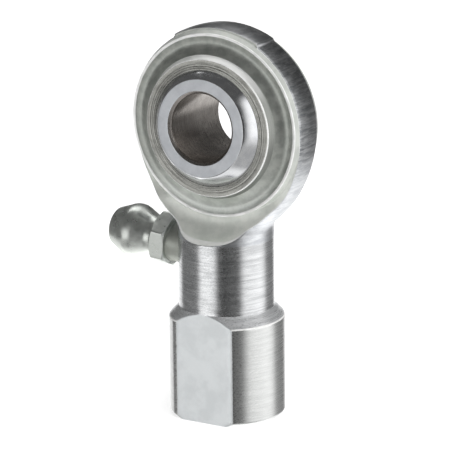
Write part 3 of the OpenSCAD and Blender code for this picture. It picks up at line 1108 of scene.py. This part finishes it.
def make_world():
    """A studio: a white table below, a dim room, and soft panels that the metal mirrors."""
    world = bpy.data.worlds.new("studio")
    world.use_nodes = True
    bpy.context.scene.world = world
    nodes = Nodes(world.node_tree)
    way = nodes.add("ShaderNodeTexCoord", {})["Generated"]

    def along(vector):
        return nodes.add("ShaderNodeVectorMath", {0: way, 1: vector}, operation="DOT_PRODUCT")["Value"]

    height = nodes.math("ARCSINE", along(Vector((0, 0, 1))))

    def over(light, mask, strength):
        """The light with another strength laid over it where the mask is one."""
        kept = nodes.math("MULTIPLY", light, nodes.math("SUBTRACT", 1.0, mask))
        return nodes.math("ADD", kept, nodes.math("MULTIPLY", mask, strength))

    def panel(azimuth, elevation, half_width, half_height, soft):
        """A soft-edged card seen from the bearing; all sizes are angles in degrees."""
        side = direction(azimuth + 90, 0)
        turn = nodes.math("ARCTAN2", along(side), along(direction(azimuth, 0)))
        lift = nodes.math("SUBTRACT", height, math.radians(elevation))
        mask = None
        for offset, half in ((turn, half_width), (lift, half_height)):
            distance = nodes.math("ABSOLUTE", offset)
            inside, outside = math.radians(half - soft), math.radians(half + soft)
            edge = nodes.range(distance, inside, outside, 1.0, 0.0)
            mask = edge if mask is None else nodes.math("MULTIPLY", mask, edge)
        return mask

    def ceiling(x_low, x_high, y_low, y_high, soft):
        """A soft-edged card overhead; its edges are given for a height of one."""
        rise = nodes.math("MAXIMUM", along(Vector((0, 0, 1))), 0.001)
        mask = nodes.range(height, 0.0, 0.2)
        for axis, low, high in ((Vector((1, 0, 0)), x_low, x_high), (Vector((0, 1, 0)), y_low, y_high)):
            place = nodes.math("DIVIDE", along(axis), rise)
            mask = nodes.math("MULTIPLY", mask, nodes.range(place, low - soft, low + soft))
            mask = nodes.math("MULTIPLY", mask, nodes.range(place, high - soft, high + soft, 1.0, 0.0))
        return mask

    # The table is white, and dimmer towards the camera, where the room's shade falls on it
    tilted = direction(31, 0) * 0.18 + Vector((0, 0, 1))
    light = over(0.09, nodes.range(along(tilted), -0.10, -0.42), 1.0)
    for azimuth, elevation, half_width, half_height, soft, strength in (
        (-45, -42, 35, 18, 8, 0.50),
        (-8, -44, 23, 20, 8, 0.24),
        (-17, -5, 21, 17, 6, 1.30),
        (37, -5, 26, 32, 5, 0.05),
        (72, -48, 36, 22, 6, 0.45),
        (99, 12, 31, 33, 9, 1.25),
        (-73, -3, 33, 22, 5, 0.13),
        (162, -12, 24, 14, 6, 0.20),
        (208, -14, 22, 13, 6, 1.4),
        (-140, -64, 50, 24, 8, 1.7),
    ):
        light = over(light, panel(azimuth, elevation, half_width, half_height, soft), strength)
    light = over(light, ceiling(-0.85, 0.45, 0.19, 0.75, 0.04), 1.8)
    # The camera itself sees plain white behind the bearing
    light = over(light, nodes.add("ShaderNodeLightPath", {})["Is Camera Ray"], 1.0)
    background = nodes.add("ShaderNodeBackground", {"Strength": light, "Color": (1.0, 1.0, 1.0)})
    nodes.add("ShaderNodeOutputWorld", {"Surface": background["Background"]})


def make_lights():
    """One large lamp over the table, for soft shade on the floor and the forged faces."""
    data = bpy.data.lights.new("overhead_softbox", "AREA")
    data.shape = "RECTANGLE"
    data.size, data.size_y = 0.5, 0.35
    data.energy = 2.0
    lamp = bpy.data.objects.new("overhead_softbox", data)
    way = direction(60, 55)
    lamp.location = way * 0.6
    lamp.rotation_mode = "QUATERNION"
    lamp.rotation_quaternion = way.to_track_quat("Z", "Y")
    lamp.visible_camera = False
    lamp.visible_glossy = False
    bpy.context.scene.collection.objects.link(lamp)


def make_floor():
    """A pale floor under the shank's end. It is seen from above only."""
    half, z = 3.0, -SHANK_LEN * MM
    corners = [(x * half, y * half, z) for x, y in ((-1, -1), (1, -1), (1, 1), (-1, 1))]
    mesh = bpy.data.meshes.new("floor")
    mesh.from_pydata(corners, [], [(0, 1, 2, 3)])
    floor = bpy.data.objects.new("floor", mesh)
    bpy.context.scene.collection.objects.link(floor)
    material, nodes = new_material("floor_paper")
    paper = nodes.add("ShaderNodeBsdfDiffuse", {"Color": (0.9, 0.9, 0.9)})[0]
    glow = nodes.add("ShaderNodeEmission", {"Strength": 0.62})[0]
    both = nodes.add("ShaderNodeAddShader", {0: paper, 1: glow})[0]
    clear = nodes.add("ShaderNodeBsdfTransparent", {})[0]
    below = nodes.add("ShaderNodeNewGeometry", {})["Backfacing"]
    mix = nodes.add("ShaderNodeMixShader", {0: below, 1: both, 2: clear})[0]
    nodes.add("ShaderNodeOutputMaterial", {"Surface": mix})
    mesh.materials.append(material)
    floor.visible_glossy = False


# ------------------------ the scene

make_camera()
make_world()
make_lights()
make_floor()
bpy.context.scene.view_settings.view_transform = "Standard"

body_piece = make_body(body_materials())
ball_piece = make_ball([
    chrome_material(),
    satin_material(),
    turned_zinc("bore_honed", (0.50, 0.47, 0.44), (0.36, 0.33, 0.31), 0.30, 0.006, 0.003, axis="Y"),
])
race_piece = make_race(turned_zinc(
    "race_zinc", (0.46, 0.46, 0.43), (0.29, 0.29, 0.27), 0.30, 0.012, 0.005, axis="Y"
))
fitting_piece = make_fitting([
    fitting_material("nipple_zinc", (0.78, 0.81, 0.77), (0.68, 0.71, 0.67), 0.32, 0.92),
    fitting_material("collar_zinc", (0.50, 0.52, 0.47), (0.42, 0.44, 0.40), 0.50, 0.80),
])
spring_piece = make_spring(fitting_material("spring_wire", (0.48, 0.49, 0.50), (0.36, 0.37, 0.38), 0.30))
for piece, body, node, slot in (
    (body_piece, "root", "body", "body_zinc"),
    (ball_piece, "ball", "ball", "ball_chrome"),
    (race_piece, "root", "race", "race_steel"),
    (fitting_piece, "root", "grease_fitting", "fitting_zinc"),
    (spring_piece, "root", "check_spring", "spring_wire"),
):
    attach(piece, body)
    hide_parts(node)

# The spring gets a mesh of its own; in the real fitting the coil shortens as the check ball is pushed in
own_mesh(spring_piece)

check_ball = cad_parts["check_ball"]
check_ball.data.materials.clear()
check_ball.data.materials.append(
    fitting_material("check_ball_steel", (0.70, 0.71, 0.73), (0.60, 0.61, 0.63), 0.12)
)
